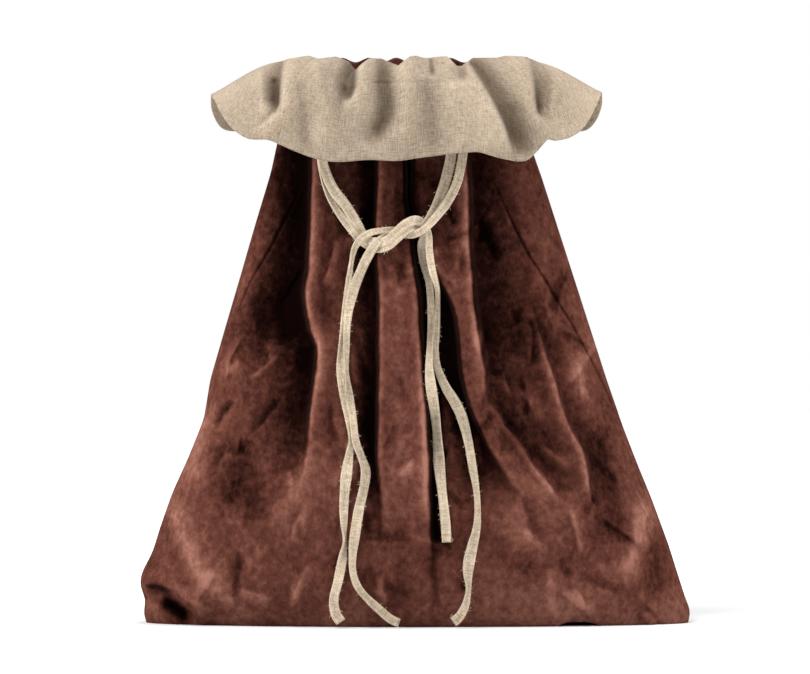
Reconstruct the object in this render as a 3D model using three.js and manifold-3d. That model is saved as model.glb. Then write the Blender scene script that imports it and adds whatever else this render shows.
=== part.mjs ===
// A gathered velvet gift sack that stands filled on its base: a body of two velvet panels, a linen cuff turned
// down over the neck, and two linen tapes that run in a channel round the neck, leave it through two buttonholes
// in the front and are tied in a half knot with four hanging tails.
// Millimetres, +Z up. The front faces -Y. The origin is on the floor, at the middle of the base.
import * as THREE from "three";
import { mergeVertices } from "three/addons/utils/BufferGeometryUtils.js";
import Module from "manifold-3d";

const wasm = await Module();
wasm.setup();

// ---------------------------------------------------------------- driving dimensions
const GAP = 0.3; // clearance on each side of a seam between two pieces

// body
const BASE_HALF_WIDTH = 273;
const NECK_HALF_WIDTH = 118;
const NECK_Z = 500; // height of the drawstring channel
const MOUTH_Z = 545; // top edge of the velvet
const BULGE_HALF_DEPTH = 118; // deepest part of the filled body
const BULGE_Z = 60; // height of that part
const NECK_HALF_DEPTH = 48;
const FLOOR_SHARE = 0.6; // how far the body rolls in under itself at the floor
const NECK_SHIFT = -20; // the neck leans to the left of the base
const CORNER_ROUND = 10;
const VELVET = 2.4; // thickness of the backed velvet
const SIDE_TAPER = (BASE_HALF_WIDTH - NECK_HALF_WIDTH) / NECK_Z;

// gathers
const PLEATS = 10; // on each panel
const PLEAT_DEPTH = 12;
const PLEAT_FOOT_Z = 140; // the gathers have run out at this height
const STEPS_PER_PLEAT = 4;

// inside the neck
const TAPE_WIDTH = 12;
const TAPE = 1.4; // thickness of the doubled linen tape
const FACING = 1.5;
const FACING_LOW_Z = 482;
const FACING_HIGH_Z = MOUTH_Z - 2;
const EXIT_TURN = THREE.MathUtils.degToRad(36); // the two buttonholes, to each side of the front's middle
const SLOT = { width: 15, height: 9 };

// cuff
const LINEN = 1.6; // thickness of the doubled linen
const CREASE_GAP = 2.4; // clearance on each side of a crease, so that a flap lifts past the wings
const CUFF_RECENTRE = 10; // the cuff's hem is this much further right than the neck
// Where the front and back flaps end and the side wings start: a crease runs down the cuff there.
const WING_TURN = { left: THREE.MathUtils.degToRad(44), right: THREE.MathUtils.degToRad(58) };
const FRONT_FALL = [[0, 547.5], [9, 561], [24, 551], [36, 508], [42, 463]]; // out from the neck, height
const SIDE_FALL = [[0, 547.5], [14, 562], [40, 556], [66, 541], [88, 515]];

// seam allowances
const ALLOWANCE = 10;
const ALLOWANCE_THICK = 3.2;

// ---------------------------------------------------------------- colours
const material = (color, roughness, metalness = 0) => new THREE.MeshStandardMaterial({ color, roughness, metalness });
const velvet = material(0x6e4034, 0.85);
const velvetInside = material(0x5a3026, 0.9);
const linen = material(0xcbbb9f, 0.9);
const tapeLinen = material(0xd2c4a8, 0.9);
const thread = material(0xb08f62, 0.7);

// ---------------------------------------------------------------- the shape of the filled body
const halfWidth = (z) => BASE_HALF_WIDTH - SIDE_TAPER * z;
const centre = (z) => (NECK_SHIFT * z) / NECK_Z;

function halfDepth(z) {
  if (z < BULGE_Z) return BULGE_HALF_DEPTH * Math.sqrt(1 - (FLOOR_SHARE * (1 - z / BULGE_Z)) ** 2);
  const rise = Math.min(1, (z - BULGE_Z) / (FACING_LOW_Z - 2 - BULGE_Z));
  return NECK_HALF_DEPTH + (BULGE_HALF_DEPTH - NECK_HALF_DEPTH) * Math.cos((Math.PI / 2) * rise) ** 1.2;
}

function pleat(turn, z) {
  const gathered = THREE.MathUtils.smoothstep(z, PLEAT_FOOT_Z, NECK_Z - 40);
  return (PLEAT_DEPTH * gathered * (1 - Math.cos(2 * PLEATS * (turn + Math.PI / 2)))) / 2;
}

// A point of the body. turn runs from -90 degrees at the left seam to +90 at the right one, and share is how far
// the point is from the bottom seam to the rim of the base. side is -1 on the front and +1 on the back.
function bodyPoint(turn, z, inset, side, share = 1) {
  const inward = inset + pleat(turn, z);
  const across = halfWidth(z) - inward - CORNER_ROUND * (1 - share);
  const deep = share * (halfDepth(z) - inward - GAP) * Math.cos(turn);
  return new THREE.Vector3(centre(z) + across * Math.sin(turn), side * (GAP + deep), z);
}

// The front's smooth outline, a distance off in front of it.
function inFront(x, z, off) {
  const across = (x - centre(z)) / halfWidth(z);
  return new THREE.Vector3(x, -halfDepth(z) * Math.sqrt(1 - across * across) - off, z);
}

// ---------------------------------------------------------------- tools
// Moves each point of a geometry with place(x, y, z), and turns its faces round where place mirrors it.
function moved(geometry, place, mirrored = false) {
  const bare = new THREE.BufferGeometry().setAttribute("position", geometry.attributes.position.clone());
  bare.setIndex(geometry.index ? geometry.index.clone() : null);
  const points = bare.attributes.position;
  for (let i = 0; i < points.count; i++) {
    const at = place(points.getX(i), points.getY(i), points.getZ(i));
    points.setXYZ(i, at.x, at.y, at.z);
  }
  const merged = mergeVertices(bare, 1e-3);
  if (mirrored) {
    const corners = merged.index.array;
    for (let i = 0; i < corners.length; i += 3) [corners[i], corners[i + 1]] = [corners[i + 1], corners[i]];
  }
  merged.computeVertexNormals();
  return merged;
}

function solid(geometry) {
  const bare = geometry.clone();
  bare.deleteAttribute("normal");
  bare.deleteAttribute("uv");
  const merged = mergeVertices(bare, 1e-3);
  return new wasm.Manifold(
    new wasm.Mesh({
      numProp: 3,
      vertProperties: new Float32Array(merged.attributes.position.array),
      triVerts: new Uint32Array(merged.index.array),
    }),
  );
}

function cut(geometry, ...tools) {
  const mesh = tools.reduce((left, tool) => left.subtract(solid(tool)), solid(geometry)).getMesh();
  const made = new THREE.BufferGeometry().setAttribute("position", new THREE.BufferAttribute(mesh.vertProperties, 3));
  made.setIndex(new THREE.BufferAttribute(mesh.triVerts, 1));
  made.computeVertexNormals();
  return made;
}

// A slab of cloth wrapped round the neck or the body: a box of unit size, bent by place(u, v, w).
const slab = (across, up, place, mirrored) => moved(new THREE.BoxGeometry(1, 1, 1, across, up, 1), place, mirrored);

const sack = new THREE.Group();
sack.name = "fabric_gift_sack";

function add(name, geometry, look) {
  const mesh = new THREE.Mesh(geometry, look);
  mesh.name = name;
  sack.add(mesh);
}

// ---------------------------------------------------------------- velvet panels
const BASE_ROWS = 3;
const WALL_ROWS = 12;

function panel(side) {
  const rows = BASE_ROWS + WALL_ROWS;
  const place = (u, v, w) => {
    const inset = w > 0 ? 0 : VELVET;
    const row = (v + 0.5) * rows;
    const share = Math.min(1, row / BASE_ROWS);
    const z = (Math.max(0, row - BASE_ROWS) / WALL_ROWS) * MOUTH_Z;
    const at = bodyPoint(u * Math.PI, z, inset, side, share);
    at.z = Math.max(z, inset);
    return at;
  };
  return slab(PLEATS * STEPS_PER_PLEAT, rows, place, side > 0);
}

// A strip that follows the inside of the neck at a given inset.
function neckStrip(side, inset, thick, low, high) {
  const place = (u, v, w) => bodyPoint(u * Math.PI, v > 0 ? high : low, inset + (w > 0 ? 0 : thick), side);
  return slab(PLEATS * STEPS_PER_PLEAT, 1, place, side > 0);
}

const exitPoint = (sign) => bodyPoint(sign * EXIT_TURN, NECK_Z, 0, -1);

function slotTool(sign) {
  const at = exitPoint(sign);
  return new THREE.BoxGeometry(SLOT.width, 40, SLOT.height).translate(at.x, at.y, at.z);
}

add("front_panel", cut(panel(-1), slotTool(-1), slotTool(1)), velvet);
add("back_panel", panel(1), velvet);

const channelInset = VELVET + 0.5;
const facingInset = channelInset + TAPE + 0.6;
for (const [end, side] of [["front", -1], ["back", 1]]) {
  const low = NECK_Z - TAPE_WIDTH / 2;
  add(`channel_tape_${end}`, neckStrip(side, channelInset, TAPE, low, low + TAPE_WIDTH), tapeLinen);
  add(`mouth_facing_${end}`, neckStrip(side, facingInset, FACING, FACING_LOW_Z, FACING_HIGH_Z), velvetInside);
}

// ---------------------------------------------------------------- seam allowances, inside
function fin(corners) {
  const outline = new THREE.Shape(corners.map(([x, z]) => new THREE.Vector2(x, z)));
  const flat = new THREE.ExtrudeGeometry(outline, { depth: ALLOWANCE_THICK, bevelEnabled: false });
  return flat.rotateX(Math.PI / 2).translate(0, ALLOWANCE_THICK / 2, 0);
}

const FIN_FOOT_Z = 22;
const FIN_TOP_Z = FACING_LOW_Z - 6;
const finInset = VELVET + 3.5;
for (const [name, sign] of [["left", -1], ["right", 1]]) {
  const edge = (z, inset) => [centre(z) + sign * (halfWidth(z) - inset), z];
  const outer = [edge(FIN_FOOT_Z, finInset), edge(FIN_TOP_Z, finInset)];
  const inner = [edge(FIN_TOP_Z, finInset + ALLOWANCE), edge(FIN_FOOT_Z, finInset + ALLOWANCE)];
  add(`${name}_side_seam`, fin([...outer, ...inner]), velvetInside);
}
const seamHalf = BASE_HALF_WIDTH - CORNER_ROUND - 22;
const seamLow = VELVET + 0.6;
const seamCorners = [[-seamHalf, seamLow], [seamHalf, seamLow], [seamHalf, seamLow + ALLOWANCE], [-seamHalf, seamLow + ALLOWANCE]];
add("bottom_seam", fin(seamCorners), velvetInside);

// ---------------------------------------------------------------- buttonholes
for (const [name, sign] of [["left", -1], ["right", 1]]) {
  const ring = new THREE.TorusGeometry(1, 0.7, 6, 28);
  const neckArc = 100; // millimetres of cloth to a radian of turn, near a buttonhole
  const place = (x, y, z) => {
    const round = Math.atan2(y, x);
    const reach = Math.hypot(x, y) - 1;
    const across = (10.5 + reach) * Math.cos(round);
    const up = (7.5 + reach) * Math.sin(round);
    return bodyPoint(sign * EXIT_TURN + across / neckArc, NECK_Z + up, -2.4 - z, -1);
  };
  add(`buttonhole_${name}`, moved(ring, place), thread);
}

// ---------------------------------------------------------------- linen cuff
const toCurve = (fall) => new THREE.SplineCurve(fall.map(([out, z]) => new THREE.Vector2(out, z)));
const frontCurve = toCurve(FRONT_FALL);
const sideCurve = toCurve(SIDE_FALL);

// A point of the cuff: down is 0 where it is sewn to the mouth and 1 at its hem, w moves it across its thickness.
function cuffPoint(turn, down, w, side) {
  const sideways = Math.sin(turn) ** 2;
  const fall = frontCurve.getPoint(down).lerp(sideCurve.getPoint(down), sideways);
  const along = frontCurve.getTangent(down).lerp(sideCurve.getTangent(down), sideways).normalize();
  const out = fall.x - along.y * w;
  const z = fall.y + along.x * w;
  const x = centre(MOUTH_Z) + CUFF_RECENTRE * down + (halfWidth(MOUTH_Z) + out) * Math.sin(turn);
  return new THREE.Vector3(x, side * (GAP + (NECK_HALF_DEPTH + out) * Math.cos(turn)), z);
}

const CUFF_ROWS = 8;
const turnGap = CREASE_GAP / NECK_HALF_WIDTH;

function cuffFlap(side) {
  const from = turnGap - WING_TURN.left;
  const to = WING_TURN.right - turnGap;
  const turn = (u) => THREE.MathUtils.lerp(from, to, u + 0.5);
  return slab(12, CUFF_ROWS, (u, v, w) => cuffPoint(turn(u), 0.5 - v, w * LINEN, side), side > 0);
}

// A wing goes from the front flap round the side to the back flap.
function cuffWing(sign, crease) {
  const half = Math.PI / 2 - crease - turnGap;
  const place = (u, v, w) => {
    const turn = 2 * u * half; // 0 at the side seam
    const at = cuffPoint(sign * (Math.PI / 2 - Math.abs(turn)), 0.5 - v, w * LINEN, Math.sign(turn) * sign || 1);
    if (Math.abs(turn) < 1e-9) at.y = 0;
    return at;
  };
  return slab(10, CUFF_ROWS, place);
}

add("cuff_front", cuffFlap(-1), linen);
add("cuff_back", cuffFlap(1), linen);
add("cuff_left_wing", cuffWing(-1, WING_TURN.left), linen);
add("cuff_right_wing", cuffWing(1, WING_TURN.right), linen);

// ---------------------------------------------------------------- tapes
// A tape's line, whose flat face is kept towards the front.
class TapeLine extends THREE.CatmullRomCurve3 {
  computeFrenetFrames(steps) {
    const tangents = [];
    const normals = [];
    const binormals = [];
    for (let i = 0; i <= steps; i++) {
      const along = this.getTangentAt(i / steps);
      const face = new THREE.Vector3(0, -1, 0).addScaledVector(along, along.y);
      if (face.length() < 0.3) face.set(0, 0, 1).addScaledVector(along, -along.z);
      tangents.push(along);
      normals.push(face.normalize());
      binormals.push(new THREE.Vector3().crossVectors(along, face));
    }
    return { tangents, normals, binormals };
  }
}

// An eight-sided flat section, thick along x and wide along y.
function tapeSection(width, thick) {
  const shape = new THREE.Shape();
  const edge = thick / 4;
  const corners = [
    [thick / 2, width / 2 - edge], [thick / 2 - edge, width / 2], [edge - thick / 2, width / 2],
    [-thick / 2, width / 2 - edge], [-thick / 2, edge - width / 2], [edge - thick / 2, -width / 2],
    [thick / 2 - edge, -width / 2], [thick / 2, edge - width / 2],
  ];
  shape.setFromPoints(corners.map(([x, y]) => new THREE.Vector2(x, y)));
  return shape;
}

function tape(points, steps, width = TAPE_WIDTH, thick = TAPE) {
  const line = new TapeLine(points, false, "centripetal");
  return new THREE.ExtrudeGeometry(tapeSection(width, thick), { steps, extrudePath: line, bevelEnabled: false });
}

// Each route is a list of [x, height, distance in front of the body].
const route = (points) => points.map(([x, z, off]) => inFront(x, z, off));

const exitLeft = exitPoint(-1).x;
const exitRight = exitPoint(1).x;
const STRANDS = {
  left_strand_inner: [[exitLeft, 498, -1.4], [exitLeft, 497.6, 3], [exitLeft, 493, 6.5], [-91, 478, 8], [-93, 462, 8],
    [-88, 436, 8], [-77, 412, 8], [-66, 398, 8]],
  left_strand_outer: [[exitLeft, 502.5, -1.4], [exitLeft, 502.2, 6], [exitLeft, 496, 11], [-91, 480, 12], [-93, 462, 12],
    [-88, 436, 12], [-77, 412, 12], [-66, 398, 12]],
  right_strand_inner: [[exitRight, 498, -1.4], [exitRight, 497.6, 3], [exitRight, 493, 6.5], [50, 478, 8], [46, 460, 8],
    [37, 438, 9], [26, 420, 13], [17, 409, 15]],
  right_strand_outer: [[exitRight, 502.5, -1.4], [exitRight, 502.2, 6], [exitRight, 496, 11], [51, 480, 12],
    [48, 460, 12], [39, 438, 13], [28, 420, 17], [19, 409, 19]],
};
for (const [name, points] of Object.entries(STRANDS)) add(name, tape(route(points), 16), tapeLinen);

// The half knot: each side's two tapes, scrunched together, cross the other side's three times.
const BUNDLE = { width: 7, thick: 4 };
const KNOT = {
  knot_left_loop: [[-61, 392, 9], [-54, 386, 5], [-44, 377, 4.5], [-33, 376, 8], [-23, 383, 12.5], [-14, 393, 14.5],
    [-6, 403, 12], [2, 406, 8], [8, 400, 4.5], [9, 390, 4], [9, 380, 5]],
  knot_right_loop: [[13, 403, 16.5], [5, 396, 15], [-4, 391, 10], [-14, 391, 5], [-26, 395, 5.5], [-40, 394, 10],
    [-52, 387, 13.5], [-60, 378, 12.5], [-64, 364, 9], [-66, 350, 7]],
};
for (const [name, points] of Object.entries(KNOT)) {
  add(name, tape(route(points), 26, BUNDLE.width, BUNDLE.thick), tapeLinen);
}

const TAILS = {
  left_tail_outer: [[-67, 345, 4.5], [-71, 318, 4.5], [-74, 290, 4.5], [-73, 262, 4.5], [-69, 232, 4.5], [-65, 205, 4.5],
    [-64, 182, 4.5], [-68, 162, 4.5], [-73, 143, 4.5], [-75, 122, 4.5], [-72, 98, 4.5], [-76, 72, 5], [-81, 50, 7],
    [-83, 32, 10], [-80, 18, 14], [-73, 9, 18]],
  left_tail_inner: [[-66, 345, 7.5], [-68, 318, 7.5], [-71, 290, 7.5], [-70, 260, 7.5], [-66, 230, 7.5], [-60, 200, 7.5],
    [-55, 180, 7.5], [-51, 165, 7.5], [-53, 148, 7.5], [-58, 127, 7.5], [-62, 105, 7.5], [-63, 80, 7.5], [-61, 54, 9],
    [-54, 38, 12], [-42, 24, 16], [-29, 13, 22], [-17, 8, 30]],
  right_tail_short: [[9, 375, 4.5], [12, 352, 4.5], [15, 328, 4.5], [15, 300, 4.5], [14, 270, 4.5], [16, 240, 4.5],
    [19, 210, 4.5], [22, 182, 4.5], [25, 154, 4.5], [28, 125, 4.5], [30, 100, 4.5], [29, 86, 4.5]],
  right_tail_long: [[10, 375, 7.5], [14, 350, 7.5], [18, 322, 7.5], [19, 295, 7.5], [21, 268, 7.5], [26, 240, 7.5],
    [37, 218, 7.5], [47, 195, 7.5], [56, 168, 7.5], [60, 145, 7.5], [61, 122, 7.5], [59, 98, 7.5], [54, 74, 7.5],
    [51, 54, 9], [51, 38, 12], [47, 24, 16], [41, 13, 22], [34, 8, 30]],
};
for (const [name, points] of Object.entries(TAILS)) {
  const line = route(points);
  add(name, tape(line, 24), tapeLinen);
  // the row of stitches that closes the tape's end
  const end = line.at(-1);
  const along = end.clone().sub(line.at(-2)).normalize();
  const lean = Math.atan2(along.x, -along.z);
  const bar = new THREE.BoxGeometry(TAPE_WIDTH - 2, 0.8, 1.2).rotateY(-lean);
  const at = end.clone().addScaledVector(along, -3);
  add(`${name}_tack`, bar.translate(at.x, at.y - TAPE / 2 - 2.4, at.z), thread);
}

export default sack;
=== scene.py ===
# A gathered velvet gift sack with a turned-down linen cuff and linen ties in a half knot.
# Metres, +Z up, the front faces -Y. The shapes below are worked out in millimetres and scaled by MM.
import math

import bpy
import numpy as np
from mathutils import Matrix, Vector


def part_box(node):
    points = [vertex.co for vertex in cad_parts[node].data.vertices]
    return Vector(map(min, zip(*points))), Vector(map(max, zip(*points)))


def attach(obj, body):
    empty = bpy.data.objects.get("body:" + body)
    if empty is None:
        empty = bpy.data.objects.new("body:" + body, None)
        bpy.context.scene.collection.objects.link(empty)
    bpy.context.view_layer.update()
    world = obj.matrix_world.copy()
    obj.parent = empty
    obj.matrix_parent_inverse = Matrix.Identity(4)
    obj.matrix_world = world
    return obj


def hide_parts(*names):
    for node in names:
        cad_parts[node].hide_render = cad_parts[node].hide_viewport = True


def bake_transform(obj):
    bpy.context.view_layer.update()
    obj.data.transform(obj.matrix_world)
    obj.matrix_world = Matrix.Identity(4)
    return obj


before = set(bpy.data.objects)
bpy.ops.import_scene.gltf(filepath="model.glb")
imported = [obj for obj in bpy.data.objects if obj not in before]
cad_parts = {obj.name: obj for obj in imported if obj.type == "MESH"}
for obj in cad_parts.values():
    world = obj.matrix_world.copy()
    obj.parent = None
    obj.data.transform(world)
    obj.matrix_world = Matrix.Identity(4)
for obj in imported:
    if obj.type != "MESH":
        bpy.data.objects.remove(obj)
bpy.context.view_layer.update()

MM = 0.001

# ------------------------------------------------------------------ camera
BODY_LOW, BODY_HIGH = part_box("front_panel")
VIEW_WIDTH = 0.81  # metres across the picture, at the aim
AIM_LEFT, AIM_Y, AIM_Z = 0.0115, -0.02, 0.2865  # the sack stands a little right of the picture's middle
AIM = Vector(((BODY_LOW.x + BODY_HIGH.x) / 2 - AIM_LEFT, AIM_Y, AIM_Z))
LENS, SENSOR = 300.0, 36.0
CAMERA_RAISE = math.radians(0.7)


def make_camera():
    data = bpy.data.cameras.new("camera")
    data.lens, data.sensor_width = LENS, SENSOR
    camera = bpy.data.objects.new("camera", data)
    bpy.context.scene.collection.objects.link(camera)
    back = Vector((0, -math.cos(CAMERA_RAISE), math.sin(CAMERA_RAISE)))
    camera.location = AIM + back * (VIEW_WIDTH * LENS / SENSOR)
    camera.rotation_euler = (-back).to_track_quat("-Z", "Y").to_euler()
    bpy.context.scene.camera = camera


make_camera()

# ------------------------------------------------------------------ the shape of the filled body, in mm
NECK_Z, MOUTH_Z = 500, 545
NECK_LOW_Z = 480  # the sack is at its thinnest from here up, and folds that start above here don't fade in
BULGE_HALF_DEPTH, BULGE_Z, NECK_HALF_DEPTH, FLOOR_SHARE = 118, 60, 48, 0.6
SINK = 7  # the folds stand on a surface this far inside the smooth body
EDGE_FADE = 5  # the folds fade out over about 1 / (2 * EDGE_FADE) of the half width, at the side seams
FOLD_REACH = 2.8  # a fold is worked out as far as this many times its spread
FADE_IN, FADE_OUT = 0.25, 0.72  # shares of a fold's length over which it rises and from which it falls

LEFT_OUTLINE = [
    (0, -270), (8, -275), (22, -271), (37, -278), (50, -276), (70, -265), (96, -257), (130, -245),
    (165, -229), (205, -213), (243, -207), (295, -192), (346, -177), (398, -162), (451, -146), (479, -140),
    (515, -132), (545, -126)]
RIGHT_OUTLINE = [
    (0, 272), (10, 276), (24, 270), (78, 253), (124, 236), (158, 222), (194, 208), (243, 191), (330, 163),
    (445, 126), (468, 118), (515, 101), (545, 92)]


def half_depth(z):
    low = BULGE_HALF_DEPTH * np.sqrt(1 - (FLOOR_SHARE * (1 - np.minimum(z, BULGE_Z) / BULGE_Z)) ** 2)
    rise = np.clip((z - BULGE_Z) / (NECK_LOW_Z - BULGE_Z), 0, 1)
    high = NECK_HALF_DEPTH + (BULGE_HALF_DEPTH - NECK_HALF_DEPTH) * np.cos(np.pi / 2 * rise) ** 1.2
    return np.where(z < BULGE_Z, low, high)


def smoothstep(low, high, value):
    t = np.clip((value - low) / (high - low), 0, 1)
    return t * t * (3 - 2 * t)


def outline(points, z):
    at, x = np.array(points, float).T
    dense = np.linspace(at[0], at[-1], 120)
    smooth = np.convolve(np.pad(np.interp(dense, at, x), 2, "edge"), [0.1, 0.2, 0.4, 0.2, 0.1], "valid")
    return np.interp(z, dense, smooth)


def middle_and_half(z):
    """The x of the sack's middle and half its width at each height."""
    low, high = outline(LEFT_OUTLINE, z), outline(RIGHT_OUTLINE, z)
    return (low + high) / 2, (high - low) / 2


def spline(points, step):
    """Points along a smooth curve through the given ones, about a step apart."""
    p = np.array(points, float)
    p = np.vstack([2 * p[0] - p[1], p, 2 * p[-1] - p[-2]])
    made = []
    for a, b, c, d in zip(p, p[1:], p[2:], p[3:]):
        count = max(1, int(np.linalg.norm(c[:3] - b[:3]) / step))
        t = (np.arange(count) / count)[:, None]
        made.append(0.5 * (2 * b + (c - a) * t + (2 * a - 5 * b + 4 * c - d) * t**2
                           + (3 * b - a - 3 * c + d) * t**3))
    return np.vstack([*made, p[-2:-1]])


def stroke(x, z, height, left, right, points):
    """How high a fold stands at x, z. Its line is points; left and right are how far it spreads each way."""
    line = spline(points, 8)
    total = np.zeros(np.shape(x))
    reach = FOLD_REACH * max(left, right)
    low, high = line.min(axis=0) - reach, line.max(axis=0) + reach
    near = (x > low[0]) & (x < high[0]) & (z > low[1]) & (z < high[1])
    if not near.any():
        return total
    x, z = x[near], z[near]
    best, side, share = np.full(x.shape, 1e9), np.ones(x.shape), np.zeros(x.shape)
    lengths = np.linalg.norm(np.diff(line, axis=0), axis=1)
    along, whole = 0.0, lengths.sum()
    for a, b, length in zip(line, line[1:], lengths):
        run = (b - a) / length
        t = np.clip((x - a[0]) * run[0] + (z - a[1]) * run[1], 0, length)
        away_x, away_z = x - a[0] - t * run[0], z - a[1] - t * run[1]
        distance = np.hypot(away_x, away_z)
        nearer = distance < best
        best = np.where(nearer, distance, best)
        side = np.where(nearer, np.sign(run[0] * away_z - run[1] * away_x), side)
        share = np.where(nearer, (along + t) / whole, share)
        along += length
    from_top = 1.0 if points[0][1] > NECK_LOW_Z else smoothstep(0, FADE_IN, share)
    fade = from_top * (1 - smoothstep(FADE_OUT, 1.0, share))
    spread = np.where(side > 0, right, left)
    total[near] = height * fade * np.exp(-((best / spread) ** 2))
    return total


def lengths_along(points):
    """How far along a line of points each one is."""
    return np.concatenate([[0], np.cumsum(np.linalg.norm(np.diff(points, axis=0), axis=1))])


def shifted(points, dx, dz=0):
    return [(x + dx, z + dz) for x, z in points]


PLEAT_1 = [
    (-104, 500), (-104, 468), (-105, 404), (-108, 354), (-111, 334), (-105, 294), (-98, 278), (-100, 250),
    (-105, 214), (-111, 164), (-118, 124)]
PLEAT_2_LEFT = [
    (-38, 500), (-39, 424), (-39, 374), (-37, 324), (-36, 284), (-38, 224), (-38, 174), (-35, 134),
    (-30, 90)]
PLEAT_2_RIGHT = [
    (-15, 500), (-13, 464), (-12, 424), (-7, 394), (-4, 364), (1, 324), (3, 274), (5, 244), (8, 204),
    (10, 154), (12, 104), (13, 64)]
PLEAT_3_LEFT = [
    (-2, 500), (-2, 464), (-4, 424), (5, 402), (20, 354), (38, 314), (42, 279), (46, 244), (56, 212),
    (70, 182), (87, 154), (104, 129), (128, 102)]
PLEAT_3_RIGHT = [
    (49, 500), (50, 454), (52, 434), (51, 394), (53, 364), (55, 334), (59, 304), (64, 274), (67, 248),
    (67, 231), (62, 221), (52, 216), (42, 213)]
PLEAT_3_RUN_OUT = [(66, 262), (72, 230), (84, 198), (102, 164), (124, 130)]
RIGHT_CREST = [
    (112, 330), (121, 293), (125, 278), (136, 246), (149, 201), (165, 171), (171, 133), (176, 104),
    (180, 84)]
INNER_CREST = [(70, 226), (84, 204), (98, 186), (113, 163), (136, 133), (150, 112)]
LOW_CREASE = [(8, 290), (9, 230), (10, 170), (12, 100), (14, 50)]
LEFT_CREASE = [(-42, 240), (-42, 180), (-40, 120), (-38, 70)]
RIGHT_CORNER = [(232, 134), (227, 122), (220, 96), (214, 70), (198, 36)]
LEFT_EDGE = [(-206, 224), (-212, 204), (-221, 170), (-230, 124)]
LEFT_CORNER = [(-254, 136), (-236, 94), (-221, 62), (-200, 36), (-172, 18)]
LEFT_SEAM = [(-110, 450), (-116, 434), (-133, 399), (-146, 376), (-161, 349), (-173, 324), (-183, 300)]
RIGHT_SEAM = [(66, 466), (90, 413), (109, 374), (132, 339), (158, 294), (184, 244), (204, 199), (213, 182)]

# Each fold: height, spread to the left, spread to the right, line.
FRONT_FOLDS = [
    (-8, 26, 24, [(-126, 404), (-139, 324), (-152, 254), (-164, 190), (-168, 130)]),
    (-20, 27, 4, shifted(PLEAT_1, -5)),
    (8, 4, 18, PLEAT_1),
    (2.6, 1.8, 14, [(-81, 440), (-83, 424), (-87, 394), (-90, 364), (-94, 324), (-96, 270)]),
    (-16, 18, 3, shifted(PLEAT_2_LEFT, -4)),
    (8, 4, 14, PLEAT_2_LEFT),
    (9, 14, 4, PLEAT_2_RIGHT),
    (-16, 3, 11, shifted(PLEAT_2_RIGHT, 6)),
    (-6, 14, 14, [(12, 374), (22, 314), (27, 274), (31, 234), (42, 194), (56, 164), (72, 130), (92, 100)]),
    (8, 3, 20, PLEAT_3_LEFT),
    (-13, 15, 3.5, shifted(PLEAT_3_LEFT, -5)),
    (9, 14, 4, PLEAT_3_RIGHT),
    (-20, 3.5, 32, shifted(PLEAT_3_RIGHT, 7)),
    (-7, 7, 22, shifted(PLEAT_3_RUN_OUT, 6)),
    (3, 3, 3, [(4, 420), (16, 430), (30, 442)]),
    (5, 12, 2.5, LOW_CREASE),
    (-8, 2.5, 9, shifted(LOW_CREASE, 5)),
    (-5, 12, 3, LEFT_CREASE),
    (-3, 3, 3, [(4, 430), (14, 438), (26, 448)]),
    (-2.5, 2, 6, [(22, 420), (27, 400), (30, 374), (32, 324)]),
    (7, 12, 2.2, INNER_CREST),
    (-5, 2.2, 14, shifted(INNER_CREST, 5)),
    (-7, 14, 14, [(104, 270), (122, 210), (142, 174), (158, 134), (168, 104)]),
    (8, 13, 2.6, RIGHT_CREST),
    (-6, 2.6, 14, shifted(RIGHT_CREST, 5)),
    (-6, 7, 8, [(172, 210), (182, 174), (191, 144), (198, 114), (204, 74)]),
    (5, 5, 6, RIGHT_CORNER),
    (-5, 10, 12, [(232, 100), (238, 54), (234, 10)]),
    (2, 3, 4, [(101, 346), (94, 328), (84, 320)]),
    (4, 9, 10, LEFT_EDGE),
    (6, 10, 16, LEFT_CORNER),
    (-5, 9, 9, [(-200, 174), (-180, 124), (-150, 86)]),
    (5, 10, 10, [(-102, 160), (-118, 130), (-136, 112), (-160, 84)]),
    (-4, 4, 5, [(-258, 102), (-244, 72)]),
    (-4, 4, 4, [(-266, 71), (-246, 72)]),
    (-3, 7, 6, [(-36, 124), (-31, 78), (-39, 24)]),
    (-3, 4, 5, [(13, 70), (20, 34), (12, 12)]),
    (-3, 9, 6, [(82, 52), (108, 60), (134, 50)]),
    (-1.8, 1.3, 1.3, LEFT_SEAM),
    (1.0, 3, 3, shifted(LEFT_SEAM, 4, 3)),
    (-1.8, 1.3, 1.3, RIGHT_SEAM),
    (1.0, 3, 3, shifted(RIGHT_SEAM, -4, 3)),
    (9, 2.5, 15, [(-282, 36), (-256, 41), (-241, 32), (-216, 19), (-204, 2)]),
    (-16, 10, 2.5, [(-276, 30), (-252, 34), (-240, 24), (-226, 12), (-214, -2)]),
    (7, 2.5, 8, [(-240, 22), (-222, 16), (-206, -2)]),
    (5, 4, 4, [(220, 16), (230, 8), (240, -2)]),
    (-5, 4, 4, [(214, 8), (226, 16), (236, 18)]),
]


def crumples(seed, count):
    """Small sharp wrinkles all over the lower part, most of them fanning out from the neck."""
    numbers = np.random.default_rng(seed)
    made = []
    for _ in range(count):
        z = numbers.uniform(15, 420)
        x = numbers.uniform(-0.94, 0.94) * (273 - 0.31 * z) - z * 0.03
        lean = math.atan2(x, 560 - z * 0.6) + numbers.normal(0, 0.5)
        half = numbers.uniform(10, 32)
        run = (math.sin(lean) * half, -math.cos(lean) * half)
        bend = numbers.uniform(-4, 4)
        line = [(x - run[0], z - run[1]), (x + bend, z), (x + run[0], z + run[1])]
        sharp, soft = numbers.uniform(1.5, 2.4), numbers.uniform(5, 11)
        left, right = (sharp, soft) if numbers.uniform() < 0.5 else (soft, sharp)
        made.append((numbers.choice([-1, 1]) * numbers.uniform(1.2, 3.6), left, right, line))
    return made


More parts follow.
